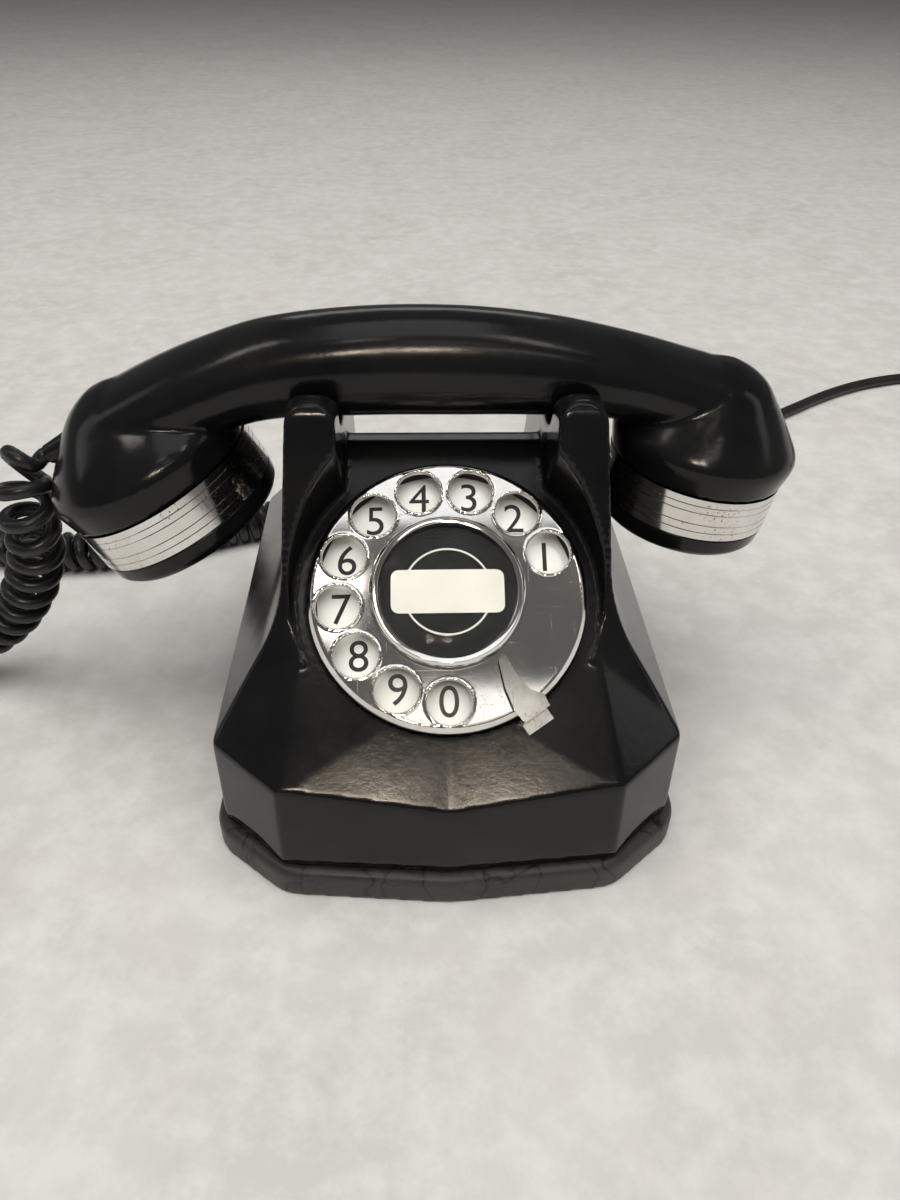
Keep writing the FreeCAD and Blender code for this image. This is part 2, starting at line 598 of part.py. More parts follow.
gov_x, gov_z = -26.3, -13.2
governor = Part.makeCylinder(1.0, 24, V(0, -12, 0), V(0, 1, 0))
governor = governor.fuse(Part.makeCylinder(3.5, 8, V(0, -10, 0), V(0, 1, 0)))
weights = Part.makeBox(5, 4, 0.8, V(-2.5, 3, -0.4)).fuse(
    [Part.makeSphere(1.4, V(sx * 2.3, 5, 0)) for sx in (1, -1)])
node("governor_worm", solid("governor_shaft", governor, dial_frame(x=gov_x, z=gov_z)))
node("governor_weights", solid("governor_flyweights", weights.cut(Part.makeCylinder(1.0, 24, V(0, -12, 0),
     V(0, 1, 0))), dial_frame(x=gov_x, z=gov_z)))
gov_stand = []
for y in (-13.0, 11.2):
    post = Part.makeBox(5, 1.8, 14.8, V(-2.5, y, -12.35)).cut(
        Part.makeCylinder(1.06, 4, V(0, y - 1, 0), V(0, 1, 0)))
    gov_stand.append(post)
gov_stand.append(Part.makeBox(5, 26, 1.2, V(-2.5, -13, -12.35)))
stand_shape = gov_stand[0].fuse(gov_stand[1:])
node("governor_stand", solid("governor_bearings", stand_shape, dial_frame(x=gov_x, z=gov_z)))

leaves = []
for i in range(2):
    leaves.append(Part.makeBox(0.8, 20, 4, V(30.5 + i * 1.9, -8, -21.5)))
stack = Part.makeBox(5.2, 6, 9, V(29.6, 8, -25.55)).fuse(leaves)
stack = stack.common(Part.makeCylinder(size("cup_radius") - 1.6, 60, V(0, 0, -50)))
node("pulse_contacts", solid("pulse_contact_springs", stack, DIAL))


def finger_stop():
    """Bent steel arm: foot outside the wheel, over its edge, tapering curved arm inwards."""
    edge = size("wheel_radius")
    top = size("wheel_top") + size("lip_rise") + 0.45
    inner = size("hub_radius") + 0.9
    lower = [V(edge + 2.2, -3.6, 0), V(edge - 1.0, -4.2, 0), V(30, -2.6, 0), V(inner + 1, 0.2, 0),
             V(inner, 1.9, 0)]
    upper = [V(inner + 1.0, 2.6, 0), V(29, 1.9, 0), V(34, 2.6, 0), V(edge - 1.0, 4.8, 0),
             V(edge + 2.2, 4.4, 0)]
    arm = Part.Face(Part.makePolygon(lower + upper + [lower[0]])).extrude(V(0, 0, 1.0))
    arm.translate(V(0, 0, top))
    drop = Part.makeBox(1.3, 8.0, top + 1.0, V(edge + 0.9, -3.6, 0.02))
    foot = Part.makeBox(4.4, 8.0, 1.0, V(edge + 0.9, -3.6, 0.02))
    return arm.fuse([drop, foot])


node("finger_stop", solid("stop_arm", finger_stop(), dial_frame(spin=size("stop_angle"))))

# ---------------------------------------------------------------- hook switch
doc.recompute()
floor_z = low + thick
press = [("0", "Dims.plunger_bottom"), ("Dims.plunger_radius", "Dims.plunger_bottom"),
         ("Dims.plunger_radius", "Dims.saddle_height - 0.6"),
         ("Dims.plunger_radius - 0.9", "Dims.saddle_height + 0.05"), ("0", "Dims.saddle_height + 0.1")]
for side, sx in (("left", -1), ("right", 1)):
    node("plunger_" + side, turned("plunger_%s_body" % side, press, move(sx * size("plunger_x"), 0, 0)))
pivot_y, pivot_z = size("lever_pivot_y"), size("lever_pivot_z")
bar_z = size("plunger_bottom") - 2.8
lever_bar = Part.makeBox(78, 3.5, 1.8, V(-39, 6, bar_z))
arms = [Part.makeBox(7, 12.0, 1.8, V(sx * size("plunger_x") - 3.5, -3.6, bar_z)) for sx in (1, -1)]
ears = [Part.makeBox(1.6, 7.6, 2.4, V(sx * 25 - 0.8, 7.5, bar_z - 0.6)) for sx in (1, -1)]
pin_clear = Part.makeCylinder(1.35, 90, V(-45, pivot_y, pivot_z), V(1, 0, 0))
ears = [ear.fuse(Part.makeCylinder(2.6, 1.6, V(sx * 25 - 0.8, pivot_y, pivot_z), V(1, 0, 0)))
        for ear, sx in zip(ears, (1, -1))]
lever_shape = lever_bar.fuse(arms + ears).cut(pin_clear)
node("hook_lever", solid("hook_switch_lever", lever_shape))
node("lever_pin", cylinder("hook_lever_pin", 1.3, 66, turn((0, 1, 0), 90, (-33, pivot_y, pivot_z))))
bracket = []
for sx in (1, -1):
    x = sx * 30 - 1.0
    cheek = Part.makeBox(2.0, 5.5, pivot_z + 3 - floor_z, V(x, pivot_y - 2.5, floor_z))
    bracket.append(cheek.cut(Part.makeCylinder(1.35, 20, V(x - 5, pivot_y, pivot_z), V(1, 0, 0))))
    bracket.append(Part.makeBox(8, 9, 1.5, V(x if sx < 0 else x - 6, pivot_y - 2.5, floor_z)))
bracket.append(Part.makeBox(60, 2.0, 12, V(-30, pivot_y + 1, 48)))
node("switch_bracket", solid("hook_switch_bracket", bracket[0].fuse(bracket[1:])))
blades = [Part.makeBox(0.8, 10.5, 4, V(x, 4, 62)) for x in (-3.4, -0.4, 2.6)]
holder = Part.makeBox(11, 3, 7, V(-5.5, pivot_y + 0.5, 60))
node("hook_contacts", solid("hook_contact_springs", holder.fuse(blades)))

# ---------------------------------------------------------------- ringer
for side, sx in (("left", -1), ("right", 1)):
    base_z = size("gong_bottom")
    shell = [(2.6, base_z + 10.8), (2.6, base_z + 12), (9, base_z + 12), (16, base_z + 9.6),
             ("Dims.gong_radius - 0.6", base_z + 4.5), ("Dims.gong_radius", base_z),
             ("Dims.gong_radius - 1.2", base_z), ("Dims.gong_radius - 1.8", base_z + 4.2),
             (15.2, base_z + 8.6), (8.7, base_z + 10.8)]
    node("gong_" + side, turned("gong_%s_shell" % side, shell, move(sx * size("gong_x"), size("gong_y"), 0)))
stand = Part.makeBox(64, 14, 2, V(-32, 38, 9.5)).fuse(Part.makeBox(44, 32, 2, V(-22, 6, 9.5)))
for sx in (1, -1):
    stand = stand.fuse(Part.makeCylinder(3.2, base_z + 10.8 - 9.5, V(sx * size("gong_x"), size("gong_y"), 9.5)))
    stand = stand.cut(Part.makeCylinder(1.3, 12, V(sx * size("gong_x"), size("gong_y"), base_z + 2)))
yoke_y, yoke_z = 24.0, 38.0
stand = stand.fuse(Part.makeCylinder(1.5, 31, V(0, yoke_y, 9.5)))
node("ringer_frame", solid("ringer_stand", stand))
gong_screw = [("0", base_z + 4), (1.25, base_z + 4), (1.25, base_z + 12), (3.6, base_z + 12),
              (3.2, base_z + 13.6), ("0", base_z + 13.8)]
screw_body = turned("gong_screw", gong_screw)
node("gong_screws", copies("gong_screw_set", screw_body,
     [move(sx * size("gong_x"), size("gong_y"), 0) for sx in (1, -1)]))
bobbin = [("0", 11.5), (8.6, 11.5), (8.6, 12.7), (7.4, 13.2), (7.4, 31.0), (8.6, 31.6), (8.6, 33.0),
          (3.2, 33.0), (3.2, 35.6), ("0", 35.6)]
coil_body = turned("ringer_coil", bobbin)
node("ringer_coils", copies("ringer_coil_pair", coil_body, [move(sx * 12, 16, 0) for sx in (1, -1)]))
armature = Part.makeBox(34, 7, 1.8, V(-17, yoke_y - 11.5, yoke_z - 1)).fuse(
    Part.makeBox(7, 12, 1.8, V(-3.5, yoke_y - 8, yoke_z - 1)))
armature = armature.cut(Part.makeCylinder(1.56, 10, V(0, yoke_y, yoke_z - 4)))
node("armature", solid("ringer_armature", armature))
rod = Part.makeCylinder(0.9, 18.5, V(0, yoke_y + 2.6, yoke_z - 1.92), V(0, 1, 0)).fuse(
    Part.makeSphere(3.4, V(0, size("gong_y"), yoke_z - 1.92)))
node("clapper", solid("clapper_rod", rod))

# ---------------------------------------------------------------- circuit parts on the plate
node("condenser", block("condenser_can", 41, 17, 15, (-25.5, -50, floor_z + 7.5)))
coil_ends = [("0", -22), (8.5, -22), (8.5, -20), (7.4, -20), (7.4, 20), (8.5, 20), (8.5, 22), ("0", 22)]
node("induction_coil", turned("induction_winding", coil_ends, turn((0, 1, 0), 90, (24, -52, floor_z + 8.6))))
strip_shape = Part.makeBox(9, 46, 7, V(-57.8, -30, floor_z))
node("terminal_strip", solid("terminal_block", strip_shape))
stud = turned("terminal_stud", [("0", floor_z + 7), (2.6, floor_z + 7), (2.4, floor_z + 9), ("0", floor_z + 9)])
node("terminal_screws", copies("terminal_screw_set", stud, [move(-53.3, -26 + 7.6 * i, 0) for i in range(6)]))

# ---------------------------------------------------------------- handset
def ellipse_section(x, bottom, top, half_width):
    """A closed elliptical section of the handle in the plane x = const."""
    centre = V(x, 0, (bottom + top) / 2)
    tall = (top - bottom) / 2
    if tall >= half_width:
        curve = Part.Ellipse(centre + V(0, 0, tall), centre + V(0, half_width, 0), centre)
    else:
        curve = Part.Ellipse(centre + V(0, half_width, 0), centre + V(0, 0, tall), centre)
    return Part.Wire(curve.toShape())


HANDLE_SECTIONS = [  # x, underside, top, half width
    (-95, 92.0, 114.5, 17.0), (-82, 96.0, 121.2, 17.5), (-67, 101.5, 127.6, 16.5), (-48, 106.5, 133.6, 15.0),
    (-22, 107.5, 136.6, 14.7), (4, 107.5, 136.8, 14.5), (28, 107.4, 134.4, 14.4), (50, 106.0, 129.8, 14.6),
    (66, 102.0, 125.4, 15.2), (80, 98.0, 121.0, 15.4), (89, 95.0, 115.0, 14.0),
]


def bowl(profile):
    """Revolve a bowl's (radius, height) outline about Z."""
    points = [V(r, 0, z) for r, z in profile]
    return Part.Face(Part.makePolygon(points + [points[0]])).revolve(V(0, 0, 0), V(0, 0, 1), 360)


def ear_frame(end):
    """Placement whose Z points out of the back of the transmitter's or receiver's bowl."""
    tilt = size(end + "_tilt") * (-1 if end == "transmitter" else 1)
    return turn((0, 1, 0), tilt, (size(end + "_x"), 0, size(end + "_z")))


BOWLS = {
    "transmitter": [(0, 0), (29.1, 0), (29.4, 1.8), (29.9, 4.6), (30.3, 7.2), (30.2, 8.6), (29.2, 10.6),
                    (26.6, 13.6), (23.4, 16.8), (18.0, 21.4), (12.4, 25.8), (7.6, 28.3), (0, 30.2)],
    "receiver": [(0, 0), (25.6, 0), (25.9, 1.8), (26.5, 4.4), (27.0, 7.0), (26.9, 8.6), (25.8, 10.6),
                 (23.4, 13.8), (20.4, 17.6), (16.6, 22.0), (12.4, 26.6), (7.8, 29.3), (0, 31.4)],
}


def handle():
    """The one-piece handle with its two bowls, bored out for the capsules."""
    bar = Part.makeLoft([ellipse_section(*section) for section in HANDLE_SECTIONS], True, False)
    shape = bar
    for end, profile in BOWLS.items():
        piece = bowl(profile)
        piece.Placement = ear_frame(end)
        shape = shape.fuse(piece)
    for end in BOWLS:
        radius = size(end + "_radius")
        below = Part.makeCylinder(radius + 12, 60, V(0, 0, -60))
        below.Placement = ear_frame(end)
        hollow_part = Part.makeCylinder(radius - 4.6, 11.5, V(0, 0, -0.5)).fuse(
            Part.makeCone(radius - 4.6, 8.0, 9.0, V(0, 0, 11)))
        hollow_part.Placement = ear_frame(end)
        shape = shape.cut([below, hollow_part])
    return shape


handle_shape = handle()
node("handset_handle", solid("handle_moulding", handle_shape))
for end in ("transmitter", "receiver"):
    rad, tall, frame = size(end + "_radius"), size("band_height"), ear_frame(end)
    face_z, lip_r = -tall - 6.4, rad - 0.7
    cap = bowl([(0, face_z), (rad - 9, face_z), (rad - 4, face_z - 0.6), (lip_r - 1.6, face_z - 0.2),
                (lip_r, face_z + 1.6), (rad - 0.1, -tall - 0.6), (rad - 0.1, -tall), (rad - 1.0, -tall),
                (rad - 1.0, -0.05), (rad - 3.2, -0.05), (rad - 3.2, face_z + 2.4), (0, face_z + 2.4)])
    if end == "transmitter":
        spots = [(0, 0)] + [(6.5, a * 60) for a in range(6)] + [(12.5, a * 30) for a in range(12)]
    else:
        spots = [(0, 0)] + [(5.5, a * 60) for a in range(6)]
    for radius, angle in spots:
        at = V(radius, 0, face_z - 2)
        at = FreeCAD.Rotation(V(0, 0, 1), angle).multVec(at)
        cap = cap.cut(Part.makeCylinder(1.3, 8, at))
    node(end + "_cap", solid(end + "_cap_moulding", cap, frame))
    groove = size("band_groove")
    band_points = [("Dims.%s_radius - 0.95" % end, "-Dims.band_height + 0.05"),
                   ("Dims.%s_radius" % end, "-Dims.band_height + 0.05")]
    stripes = [2.35, 2.35, 3.6, 2.1, 2.1]
    level = -tall + 0.05
    for i, stripe in enumerate(stripes[:-1]):
        level += stripe - 0.3
        band_points.append(("Dims.%s_radius" % end, level))
        band_points.append(("Dims.%s_radius - Dims.band_groove" % end, level + 0.15))
        band_points.append(("Dims.%s_radius" % end, level + 0.3))
        level += 0.3
    band_points.append(("Dims.%s_radius" % end, -0.1))
    band_points.append(("Dims.%s_radius - 0.95" % end, -0.1))
    node(end + "_band", turned(end + "_chrome_band", band_points, frame))
    capsule = [("0", face_z + 2.6), (rad - 5.6, face_z + 2.6), (rad - 5.0, face_z + 4.0), (rad - 5.0, 3.0),
               (rad - 11, 7.0), ("0", 7.0)]
    node(end + "_capsule", turned(end + "_insert", capsule, frame))

# boot that the handset cord comes out of, at the transmitter end
BOOT_TIP = V(-113.6, -1.0, 94.6)
BOOT_WAY = V(-0.88, 0, -0.47)
BOOT_WAY.normalize()
boot = Part.makeCone(4.0, 2.9, 12.5, BOOT_TIP - BOOT_WAY * 12.5, BOOT_WAY).cut(handle_shape)
boot = max(boot.Solids, key=lambda piece: piece.Volume)
node("handset_boot", solid("handset_cord_boot", boot))

# ---------------------------------------------------------------- cord outlets and cords
for side, sx, long, tip in (("line", 1, 22.0, 3.5), ("handset", -1, 11.0, 3.0)):
    x, z = sx * size("outlet_x"), size("outlet_z")
    relief = [("0", -6), (6.0, -6), (6.0, -4.1), (4.0, -4.1), (4.0, 1.5), (4.9, 1.5), (4.9, 3.4),
              (tip, long), ("0", long)]
    node(side + "_cord_relief", turned(side + "_relief", relief, turn((1, 0, 0), -90, (x, 82.0, z))))


def routed_tube(points, diameter):
    """A tube along straight runs joined by tangent arcs through the route's corners."""
    points = [V(*p) for p in points]
    edges, last = [], points[0]
    for before, at, after in zip(points, points[1:], points[2:]):
        way_in, way_out = (at - before), (after - at)
        shorter = min(way_in.Length, way_out.Length)
        half = way_in.getAngle(way_out) / 2
        way_in.normalize()
        way_out.normalize()
        reach = 0.45 * shorter
        radius = reach / math.tan(half)
        start, end = at - way_in * reach, at + way_out * reach
        inward = (way_out - way_in)
        inward.normalize()
        middle = at + inward * (radius / math.cos(half) - radius)
        edges.append(Part.LineSegment(last, start).toShape())
        edges.append(Part.Arc(start, middle, end).toShape())
        last = end
    edges.append(Part.LineSegment(last, points[-1]).toShape())
    wire = Part.Wire(edges)
    way = points[1] - points[0]
    way.normalize()
    circle = Part.Wire(Part.Circle(points[0], way, diameter / 2).toShape())
    return wire.makePipeShell([circle], True, True)


tip = BOOT_TIP + BOOT_WAY * 0.4
HANDSET_TAIL = [tuple(tip), (-118.6, -1.0, 91.4), (-122.4, -1.0, 87.4), (-124.2, -1.0, 83.2)]
CURLY_ROUTE = [
    (-124.4, -0.8, 81.6), (-127.2, 0.0, 61.5), (-134.4, 4.0, 42.5), (-147.0, 8.5, 26.0),
    (-163.5, 8.0, 15.0), (-183.5, 0.5, 9.8), (-206.0, -3.0, 8.6), (-229.0, 3.0, 8.6),
    (-246.0, 19.0, 8.6), (-252.0, 42.0, 8.6), (-245.0, 64.0, 8.6), (-228.0, 80.0, 8.6),
    (-205.0, 86.0, 8.6), (-181.5, 80.5, 8.6), (-158.0, 75.5, 8.6), (-134.0, 76.5, 8.6),
    (-110.5, 84.5, 8.6), (-87.0, 95.5, 8.6), (-62.0, 103.5, 8.6),
]
BASE_TAIL = [(-61.9, 103.53, 8.6), (-54.0, 105.9, 8.6), (-46.0, 106.2, 10.8), (-39.8, 102.6, 14.8),
             (-36.3, 96.6, 17.4), (-36.0, 93.05, 18.0)]
strand = size("strand_diameter")
node("handset_cord_tail", solid("handset_tail", routed_tube(HANDSET_TAIL, strand)))
node("handset_cord", solid("curly_cord", routed_tube(CURLY_ROUTE, size("coil_cord_diameter"))))
node("base_cord_tail", solid("base_tail", routed_tube(BASE_TAIL, strand)))

LINE_ROUTE = [
    (36.0, 104.05, 18.0), (36.6, 116.0, 16.4), (40.5, 132.0, 10.4), (50.0, 148.0, 4.8), (66.0, 161.5, 3.0),
    (90.0, 172.0, 3.0), (120.0, 179.5, 3.0), (150.0, 188.0, 3.0), (176.0, 200.0, 3.0), (200.0, 217.0, 3.0),
    (226.0, 236.0, 3.0), (256.0, 252.0, 3.0), (288.0, 260.5, 3.0), (316.0, 258.0, 3.0),
]
line_d = size("line_diameter")
node("line_cord", solid("line_lead", routed_tube(LINE_ROUTE, line_d)))
coil_centre = V(330, 222, 0)
coil_tall = 3 * line_d + 0.8
coil_ring = Part.makeCylinder(39.6, coil_tall, coil_centre).cut(
    Part.makeCylinder(22.4, coil_tall, coil_centre))
node("line_cord_coil", solid("line_lead_coil", coil_ring))
PLUG_AT = coil_centre + V(23, -82, 0)
plug = bowl([(0, 0), (17, 0), (17, 3), (19, 3), (19, 15), (16, 19), (0, 19)])
cord_way = Part.makeCylinder(2.85, 20, V(0, 8, 10), V(0, 1, 0))
node("line_plug", solid("line_plug_body", plug.cut(cord_way), move(*PLUG_AT)))
pins = [Part.makeCylinder(2.2, 12, V(sx * 8.5, sy * 8.5, 19)) for sx in (1, -1) for sy in (1, -1)]
node("line_plug_pins", solid("line_plug_contact_pins", Part.makeCompound(pins), move(*PLUG_AT)))
PLUG_LEAD = [coil_centre + V(42.4, 3, 3.0), coil_centre + V(42.4, -14, 3.0), coil_centre + V(38.5, -30, 3.8),
             coil_centre + V(31.5, -44, 6.4), coil_centre + V(25.2, -56, 9.4), coil_centre + V(23, -68, 10.0)]
node("plug_lead", solid("plug_lead_tube", routed_tube(PLUG_LEAD, line_d)))

# ---------------------------------------------------------------- checks and files
doc.recompute()
for item in doc.Objects:
    if "Invalid" in item.State or "Error" in item.State:
        raise RuntimeError("failed object: %s %s" % (item.Name, item.State))
os.makedirs("parts", exist_ok=True)
for name, item in PARTS.items():
    if item.Shape.isNull() or not item.Shape.isValid():
        raise RuntimeError("bad shape: " + name)
    item.Shape.exportStep("parts/%s.step" % name)
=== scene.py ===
"""Looks of a black rotary telephone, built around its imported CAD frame. Metres, Z up."""
import math

import bmesh
import bpy
from mathutils import Matrix, Vector, noise


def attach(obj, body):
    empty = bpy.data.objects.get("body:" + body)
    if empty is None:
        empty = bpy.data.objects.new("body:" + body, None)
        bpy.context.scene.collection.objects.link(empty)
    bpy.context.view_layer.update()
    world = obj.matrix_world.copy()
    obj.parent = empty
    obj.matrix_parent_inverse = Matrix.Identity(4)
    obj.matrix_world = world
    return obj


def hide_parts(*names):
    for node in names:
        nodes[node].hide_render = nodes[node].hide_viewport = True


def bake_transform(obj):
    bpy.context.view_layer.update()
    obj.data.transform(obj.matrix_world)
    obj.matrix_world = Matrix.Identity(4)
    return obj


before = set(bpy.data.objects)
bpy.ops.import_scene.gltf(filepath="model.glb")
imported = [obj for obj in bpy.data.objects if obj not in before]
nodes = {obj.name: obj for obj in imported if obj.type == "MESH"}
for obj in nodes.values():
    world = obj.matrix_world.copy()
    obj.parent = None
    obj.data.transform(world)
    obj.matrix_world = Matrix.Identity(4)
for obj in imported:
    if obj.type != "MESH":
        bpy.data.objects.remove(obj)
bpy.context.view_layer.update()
scene = bpy.context.scene
MM = 0.001


def link(name, data):
    obj = bpy.data.objects.new(name, data)
    scene.collection.objects.link(obj)
    return obj


def object_from(name, bm):
    """An object whose mesh is the given bmesh."""
    mesh = bpy.data.meshes.new(name)
    bm.to_mesh(mesh)
    bm.free()
    return link(name, mesh)


def around(count):
    """The angles of so many even steps round a circle."""
    return [2 * math.pi * k / count for k in range(count)]


def band(bm, low, high):
    """Faces between two closed rings of vertices."""
    for k in range(len(low)):
        m = (k + 1) % len(low)
        bm.faces.new((low[k], low[m], high[m], high[k]))


def shell(bm, rings):
    """A closed skin over rings of points."""
    rows = [[bm.verts.new(p) for p in ring] for ring in rings]
    for low, high in zip(rows, rows[1:]):
        band(bm, low, high)
    bm.faces.new(list(reversed(rows[0])))
    bm.faces.new(rows[-1])


# ------------------------------------------------------------------ camera
CAMERA_AT = (-0.007686, -0.235909, 0.220598)
YAW, PITCH, ROLL = math.radians(2.479), math.radians(37.534), math.radians(0.889)
forward = Vector((math.sin(YAW) * math.cos(PITCH), math.cos(YAW) * math.cos(PITCH), -math.sin(PITCH)))
right = Vector((math.cos(YAW), -math.sin(YAW), 0))
upward = right.cross(forward)
right_r = right * math.cos(ROLL) + upward * math.sin(ROLL)
up_r = upward * math.cos(ROLL) - right * math.sin(ROLL)
camera = link("camera", bpy.data.cameras.new("camera"))
camera.data.lens = 27.0
camera.data.sensor_width = 36.0
camera.data.clip_start = 0.01
turned = Matrix((right_r, up_r, -forward)).transposed().to_4x4()
camera.matrix_world = Matrix.Translation(CAMERA_AT) @ turned
scene.camera = camera


# ------------------------------------------------------------------ cords
def nurbs(name, points):
    """A curve of one smooth spline whose control points are the given points, in mm."""
    data = bpy.data.curves.new(name, "CURVE")
    data.dimensions = "3D"
    data.resolution_u = 12
    spline = data.splines.new("NURBS")
    spline.points.add(len(points) - 1)
    for slot, at in zip(spline.points, points):
        slot.co = (at[0] * MM, at[1] * MM, at[2] * MM, 1)
    spline.order_u = 3
    spline.use_endpoint_u = True
    return link(name, data)


def line_of(curve):
    """The points along a curve with no bevel, in order."""
    mesh = bpy.data.meshes.new_from_object(curve)
    points = [v.co.copy() for v in mesh.vertices]
    bpy.data.meshes.remove(mesh)
    return points


def resampled(points, step):
    """Points a fixed step apart along a polyline."""
    result, carried = [points[0].copy()], 0.0
    for a, b in zip(points, points[1:]):
        length = (b - a).length
        at = step - carried
        while at <= length:
            result.append(a.lerp(b, at / length))
            at += step
        carried = length - (at - step)
    return result


def frames_along(points):
    """Two sideways directions at each point, carried along without twisting."""
    side = Vector((0, 0, 1))
    result = []
    for i, at in enumerate(points):
        ahead = (points[min(i + 1, len(points) - 1)] - points[max(i - 1, 0)]).normalized()
        side = (side - ahead * side.dot(ahead)).normalized()
        result.append((side.copy(), ahead.cross(side)))
    return result


def tube(name, points, radius, sides=12):
    """A closed round tube along the points."""
    bm = bmesh.new()
    shell(bm, [[at + side * (radius * math.cos(a)) + over * (radius * math.sin(a)) for a in around(sides)]
               for at, (side, over) in zip(points, frames_along(points))])
    bmesh.ops.recalc_face_normals(bm, faces=bm.faces)
    obj = object_from(name, bm)
    for face in obj.data.polygons:
        face.use_smooth = True
    return obj


def share_of(value, start, span):
    """How far value is from start along span, held between 0 and 1."""
    return min(max((value - start) / span, 0), 1)


# the handset's cord: straight out of the boot, wound along the route, straight into the case
HANDSET_ROUTE = [
    (-114.0, -1.0, 94.4), (-118.0, 1.0, 93.4), (-121.4, 0.4, 90.4), (-123.4, -3.6, 85.2),
    (-124.4, -3.4, 75.0), (-125.6, 0.0, 61.5), (-134.4, 4.0, 42.5), (-147.0, 8.5, 26.0),
    (-163.5, 8.0, 15.0), (-183.5, 0.5, 9.8), (-206.0, -3.0, 8.3), (-229.0, 3.0, 8.3),
    (-246.0, 19.0, 8.3), (-252.0, 42.0, 8.3), (-245.0, 64.0, 8.3), (-228.0, 80.0, 8.3),
    (-205.0, 86.0, 8.3), (-181.5, 80.5, 8.3), (-158.0, 75.5, 8.3), (-134.0, 76.5, 8.3),
    (-110.5, 84.5, 8.3), (-87.0, 95.5, 8.3), (-62.0, 103.5, 8.5),
    (-54.0, 105.9, 8.6), (-46.0, 106.2, 10.8), (-39.8, 102.6, 14.8),
    (-36.3, 96.6, 17.4), (-36.0, 93.05, 18.0),
]
STRAND = 4.6 * MM
TAIL_IN, TAIL_OUT = 1.0 * MM, 34 * MM      # straight stretches at the handset and at the case
RISE_IN, RISE_OUT = 8 * MM, 14 * MM        # lengths over which the winding opens and closes
HANG_FROM, HANG_SPAN = 14 * MM, 22 * MM    # height where the cord starts to hang, and where it fully does
STEP = 0.2 * MM
guide = nurbs("handset_cord_route", HANDSET_ROUTE)
route = resampled(line_of(guide), STEP)
bpy.data.objects.remove(guide)
sides = frames_along(route)
whole = STEP * (len(route) - 1)
cord_path, phase = [], 3.5
for i, at in enumerate(route):
    s = i * STEP
    swell = min(share_of(s, TAIL_IN, RISE_IN), share_of(whole - TAIL_OUT, s, RISE_OUT))
    swell = swell * swell * (3 - 2 * swell)
    hanging = share_of(at.z, HANG_FROM, HANG_SPAN)
    pitch = (5.3 + 3.6 * hanging) * MM / max(swell, 0.12)
    phase += 2 * math.pi * STEP / pitch
    bulge = min(1.0 + 0.07 * noise.noise(Vector((s * 60, 3.1, 0.4))), 1.02)
    reach = (5.7 + 0.6 * hanging) * MM * swell * bulge
    side, over = sides[i]
    cord_path.append(at + side * (reach * math.cos(phase)) + over * (reach * math.sin(phase)))
cord_path = resampled(cord_path, 1.6 * MM)
handset_lead = tube("handset_lead", cord_path, STRAND / 2, 12)
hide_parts("handset_cord_tail", "handset_cord", "base_cord_tail")
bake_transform(handset_lead)

# the line cord: along the table, a neat coil outside the view, then to its plug
LINE_ROUTE = [
    (36.0, 104.05, 18.0), (36.6, 116.0, 16.4), (40.5, 132.0, 10.4), (50.0, 148.0, 4.8),
    (66.0, 161.5, 3.0), (90.0, 172.0, 3.0), (120.0, 179.5, 3.0), (150.0, 188.0, 3.0),
    (176.0, 200.0, 3.0), (200.0, 217.0, 3.0), (226.0, 236.0, 3.0), (256.0, 252.0, 3.0),
    (288.0, 260.5, 3.0), (307.0, 261.0, 3.0),
]
COIL_AT = Vector((330.0, 222.0, 0.0))
COIL_TURNS = 7.31
POINTS_PER_TURN = 14
COIL_STARTS_AT = math.radians(104)
TURNS_A_LAYER = 3
LAYS_DOWN_OVER = 0.42      # the last turns, over which the cord comes back down to the table
WIRE = 5.6                 # mm
LYING = 3.0                # height of the cord's middle on the table, mm
PLUG_ROUTE = [(42.2, -14, 3.0), (38.5, -30, 3.8), (31.5, -44, 6.4), (25.2, -56, 9.4), (23.0, -68, 10.0)]
winding = []
count = round(COIL_TURNS * POINTS_PER_TURN)
for i in range(count + 1):
    turns = i / POINTS_PER_TURN
    angle = COIL_STARTS_AT - 2 * math.pi * turns
    layer = min(int(turns / TURNS_A_LAYER), 2)
    within = turns - TURNS_A_LAYER * layer
    lift = share_of(turns, 2.8, 0.4) + share_of(turns, 5.8, 0.4)
    if layer == 0:
        radius = 36.6 - WIRE * min(within, 2.75) * 0.94
    elif layer == 1:
        radius = 26.0 + WIRE * min(within, 2.75) * 0.70
    else:
        radius = 36.2 - 4.2 * min(within / 0.5, 1) + 3.4 * max((within - 0.9) / 0.4, 0)
    height = LYING + WIRE * lift
    if turns > COIL_TURNS - LAYS_DOWN_OVER:
        share = (turns - COIL_TURNS + LAYS_DOWN_OVER) / LAYS_DOWN_OVER
        radius += 6.4 * share
        height -= 2 * WIRE * share * share
    winding.append(COIL_AT + Vector((radius * math.cos(angle), radius * math.sin(angle), height)))
plug_lead_points = [COIL_AT + Vector(p) for p in PLUG_ROUTE]
guide = nurbs("line_route", LINE_ROUTE + winding + plug_lead_points)
line_path = resampled(line_of(guide), 3 * MM)
bpy.data.objects.remove(guide)
line_lead = tube("line_lead", line_path, WIRE * MM / 2, 14)
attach(line_lead, "base")
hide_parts("line_cord", "line_cord_coil", "plug_lead")


